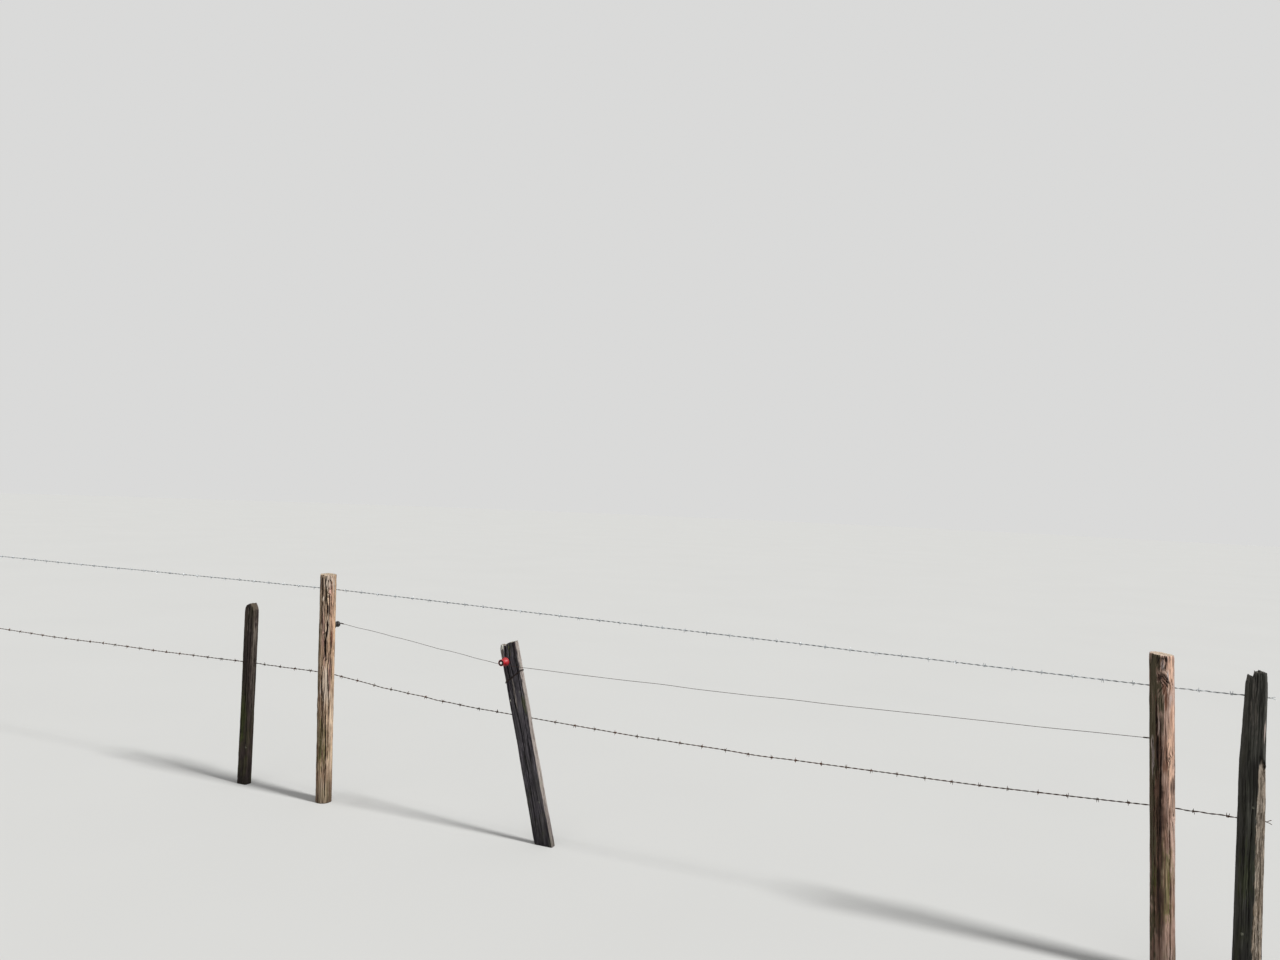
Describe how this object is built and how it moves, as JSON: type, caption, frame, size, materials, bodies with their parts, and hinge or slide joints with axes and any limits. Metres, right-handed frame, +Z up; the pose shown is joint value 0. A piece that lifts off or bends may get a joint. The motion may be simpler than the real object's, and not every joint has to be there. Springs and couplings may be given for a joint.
{
  "type": "post and barbed wire fence",
  "caption": "Stock fence section: weathered round posts and old leaning stakes carrying barbed strands and a thin electric wire on nailed bobbins.",
  "frame": {"origin": "centre of the middle round post's foot, at ground level", "axes": "+X along the fence to the right, +Y to the field side where the strands run, +Z up"},
  "size_m": [7.6965, 0.128, 1.1202],
  "materials": {
    "round_post_wood": "sun-bleached softwood, deeply fissured, brown in the cracks",
    "old_grey_wood": "old grey weathered wood with a torn top",
    "old_dark_wood": "nearly black cleft hardwood, damp and rough",
    "bright_wire": "bright galvanised two-ply barbed wire",
    "dull_wire": "old dull galvanised barbed wire with rust",
    "rusty_wire": "thin dark rusty wire",
    "staple_steel": "dull galvanised staples",
    "black_plastic": "weathered black plastic",
    "red_plastic": "red plastic, a little faded",
    "nail_steel": "bright galvanised clout nail"
  },
  "bodies": {
    "root": {"left_post": "round_post_wood", "middle_post": "round_post_wood", "right_post": "round_post_wood", "old_stub": "old_grey_wood", "old_cleft_post": "old_dark_wood", "old_stake": "old_dark_wood", "top_strand": "bright_wire", "lower_strand": "dull_wire", "electric_wire": "rusty_wire", "stub_binding": "rusty_wire", "top_barbs": "bright_wire", "lower_barbs": "dull_wire", "top_strand_wrap": "bright_wire", "lower_strand_wrap": "dull_wire", "top_staple_left": "staple_steel", "top_staple_middle": "staple_steel", "top_staple_right": "staple_steel", "top_staples_cleft": "staple_steel", "lower_staple_left": "staple_steel", "lower_staple_stake": "staple_steel", "lower_staple_middle": "staple_steel", "lower_staple_stub": "staple_steel", "lower_staple_right": "staple_steel", "lower_staples_cleft": "staple_steel", "middle_bobbin": "black_plastic", "stub_bobbin": "red_plastic", "right_bobbin": "black_plastic", "middle_bobbin_nail": "nail_steel", "stub_bobbin_nail": "nail_steel", "right_bobbin_nail": "nail_steel"}
  },
  "joints": []
}
